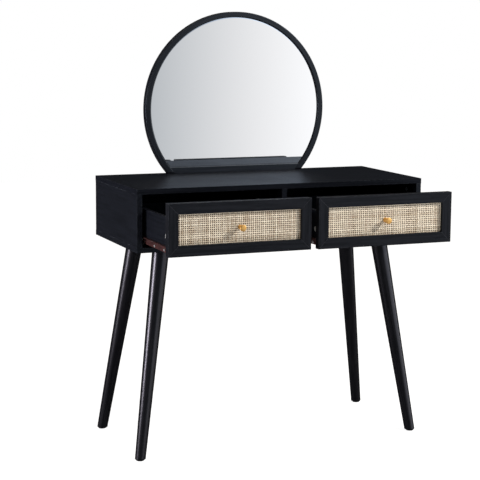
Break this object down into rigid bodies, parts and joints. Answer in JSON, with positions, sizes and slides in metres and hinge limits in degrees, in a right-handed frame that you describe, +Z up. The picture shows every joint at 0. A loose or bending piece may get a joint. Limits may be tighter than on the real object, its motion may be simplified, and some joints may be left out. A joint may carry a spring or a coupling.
{
  "type": "vanity table with mirror",
  "caption": "Vanity table: dark case on splayed tapered legs, rattan-fronted drawers on roller runners, round mirror with a flat foot.",
  "frame": {"origin": "on the floor, under the middle of the table's box with its drawers standing open as at rest", "axes": "+Z up; +X to the right of someone seated at the table; +Y towards the back, so the drawers open towards -Y"},
  "size_m": [0.9066, 0.6216, 1.2729],
  "materials": {
    "black_board": "black wood-grain melamine board",
    "black_hardboard": "black-faced hardboard",
    "black_front_frame": "black wood-grain foil on mitred mouldings",
    "drawer_board": "dark blue-black foil-faced board",
    "drawer_bottom_board": "dark hardboard",
    "black_leg": "satin black lacquer on turned wood",
    "mirror_frame_black": "satin black lacquer",
    "mirror_glass": "silvered glass with a narrow bevel",
    "raw_board": "unfaced fibreboard",
    "rattan": "natural cream rattan, open square weave",
    "tan_board": "tan board behind the rattan",
    "knob_gold": "satin gold metal",
    "runner_enamel": "dark red-brown stoved enamel on steel",
    "roller_nylon": "off-white nylon",
    "zinc": "bright zinc plate",
    "black_steel": "black powder-coated steel",
    "glide_plastic": "black plastic"
  },
  "bodies": {
    "table": {"top_panel": "black_board", "bottom_panel": "black_board", "left_side_panel": "black_board", "right_side_panel": "black_board", "centre_divider": "black_board", "back_panel": "black_hardboard", "case_cam_fittings": "zinc", "case_screws": "zinc", "leg_front_left": "black_leg", "leg_front_right": "black_leg", "leg_back_left": "black_leg", "leg_back_right": "black_leg", "leg_plates": "black_steel", "leg_plate_screws": "zinc", "leg_hanger_bolts": "zinc", "foot_glides": "glide_plastic", "mirror_frame": "mirror_frame_black", "mirror_bottom_rail": "mirror_frame_black", "mirror_glass": "mirror_glass", "mirror_backing": "raw_board", "mirror_straps": "black_steel", "mirror_screws": "zinc", "left_bay_runners": "runner_enamel", "right_bay_runners": "runner_enamel", "runner_screws": "zinc"},
    "left_drawer": {"left_drawer_front_top_rail": "black_front_frame", "left_drawer_front_bottom_rail": "black_front_frame", "left_drawer_front_left_stile": "black_front_frame", "left_drawer_front_right_stile": "black_front_frame", "left_drawer_rattan": "rattan", "left_drawer_front_backing": "tan_board", "left_drawer_knob": "knob_gold", "left_drawer_box_left": "drawer_board", "left_drawer_box_right": "drawer_board", "left_drawer_box_back": "drawer_board", "left_drawer_box_bottom": "drawer_bottom_board", "left_drawer_runners": "runner_enamel", "left_drawer_fasteners": "zinc"},
    "left_bay_left_roller": {"left_bay_left_roller": "roller_nylon"},
    "left_drawer_left_roller": {"left_drawer_left_roller": "roller_nylon"},
    "left_bay_right_roller": {"left_bay_right_roller": "roller_nylon"},
    "left_drawer_right_roller": {"left_drawer_right_roller": "roller_nylon"},
    "right_drawer": {"right_drawer_front_top_rail": "black_front_frame", "right_drawer_front_bottom_rail": "black_front_frame", "right_drawer_front_left_stile": "black_front_frame", "right_drawer_front_right_stile": "black_front_frame", "right_drawer_rattan": "rattan", "right_drawer_front_backing": "tan_board", "right_drawer_knob": "knob_gold", "right_drawer_box_left": "drawer_board", "right_drawer_box_right": "drawer_board", "right_drawer_box_back": "drawer_board", "right_drawer_box_bottom": "drawer_bottom_board", "right_drawer_runners": "runner_enamel", "right_drawer_fasteners": "zinc"},
    "right_bay_left_roller": {"right_bay_left_roller": "roller_nylon"},
    "right_drawer_left_roller": {"right_drawer_left_roller": "roller_nylon"},
    "right_bay_right_roller": {"right_bay_right_roller": "roller_nylon"},
    "right_drawer_right_roller": {"right_drawer_right_roller": "roller_nylon"}
  },
  "joints": [
    {"name": "left_drawer_slide", "type": "slide", "parent": "table", "child": "left_drawer", "axis": [0, -1, 0], "range_m": [-0.205, 0.055]},
    {"name": "left_bay_left_roller_turn", "type": "hinge", "parent": "table", "child": "left_bay_left_roller", "pos_m": [-0.4291, -0.04885, 0.6345], "axis": [1, 0, 0], "continuous": true},
    {"name": "left_drawer_left_roller_turn", "type": "hinge", "parent": "left_drawer", "child": "left_drawer_left_roller", "pos_m": [-0.4271, 0.06815, 0.6326], "axis": [1, 0, 0], "continuous": true},
    {"name": "left_bay_right_roller_turn", "type": "hinge", "parent": "table", "child": "left_bay_right_roller", "pos_m": [-0.0129, -0.04885, 0.6345], "axis": [1, 0, 0], "continuous": true},
    {"name": "left_drawer_right_roller_turn", "type": "hinge", "parent": "left_drawer", "child": "left_drawer_right_roller", "pos_m": [-0.0149, 0.06815, 0.6326], "axis": [1, 0, 0], "continuous": true},
    {"name": "right_drawer_slide", "type": "slide", "parent": "table", "child": "right_drawer", "axis": [0, -1, 0], "range_m": [-0.21, 0.05]},
    {"name": "right_bay_left_roller_turn", "type": "hinge", "parent": "table", "child": "right_bay_left_roller", "pos_m": [0.0129, -0.04885, 0.6345], "axis": [1, 0, 0], "continuous": true},
    {"name": "right_drawer_left_roller_turn", "type": "hinge", "parent": "right_drawer", "child": "right_drawer_left_roller", "pos_m": [0.0149, 0.06315, 0.6326], "axis": [1, 0, 0], "continuous": true},
    {"name": "right_bay_right_roller_turn", "type": "hinge", "parent": "table", "child": "right_bay_right_roller", "pos_m": [0.4291, -0.04885, 0.6345], "axis": [1, 0, 0], "continuous": true},
    {"name": "right_drawer_right_roller_turn", "type": "hinge", "parent": "right_drawer", "child": "right_drawer_right_roller", "pos_m": [0.4271, 0.06315, 0.6326], "axis": [1, 0, 0], "continuous": true}
  ],
  "couplings": [
    {"joint": "left_bay_left_roller_turn", "follows": "left_drawer_slide", "rad_per_m": 100},
    {"joint": "left_drawer_left_roller_turn", "follows": "left_drawer_slide", "rad_per_m": 100},
    {"joint": "left_bay_right_roller_turn", "follows": "left_drawer_slide", "rad_per_m": 100},
    {"joint": "left_drawer_right_roller_turn", "follows": "left_drawer_slide", "rad_per_m": 100},
    {"joint": "right_bay_left_roller_turn", "follows": "right_drawer_slide", "rad_per_m": 100},
    {"joint": "right_drawer_left_roller_turn", "follows": "right_drawer_slide", "rad_per_m": 100},
    {"joint": "right_bay_right_roller_turn", "follows": "right_drawer_slide", "rad_per_m": 100},
    {"joint": "right_drawer_right_roller_turn", "follows": "right_drawer_slide", "rad_per_m": 100}
  ]
}
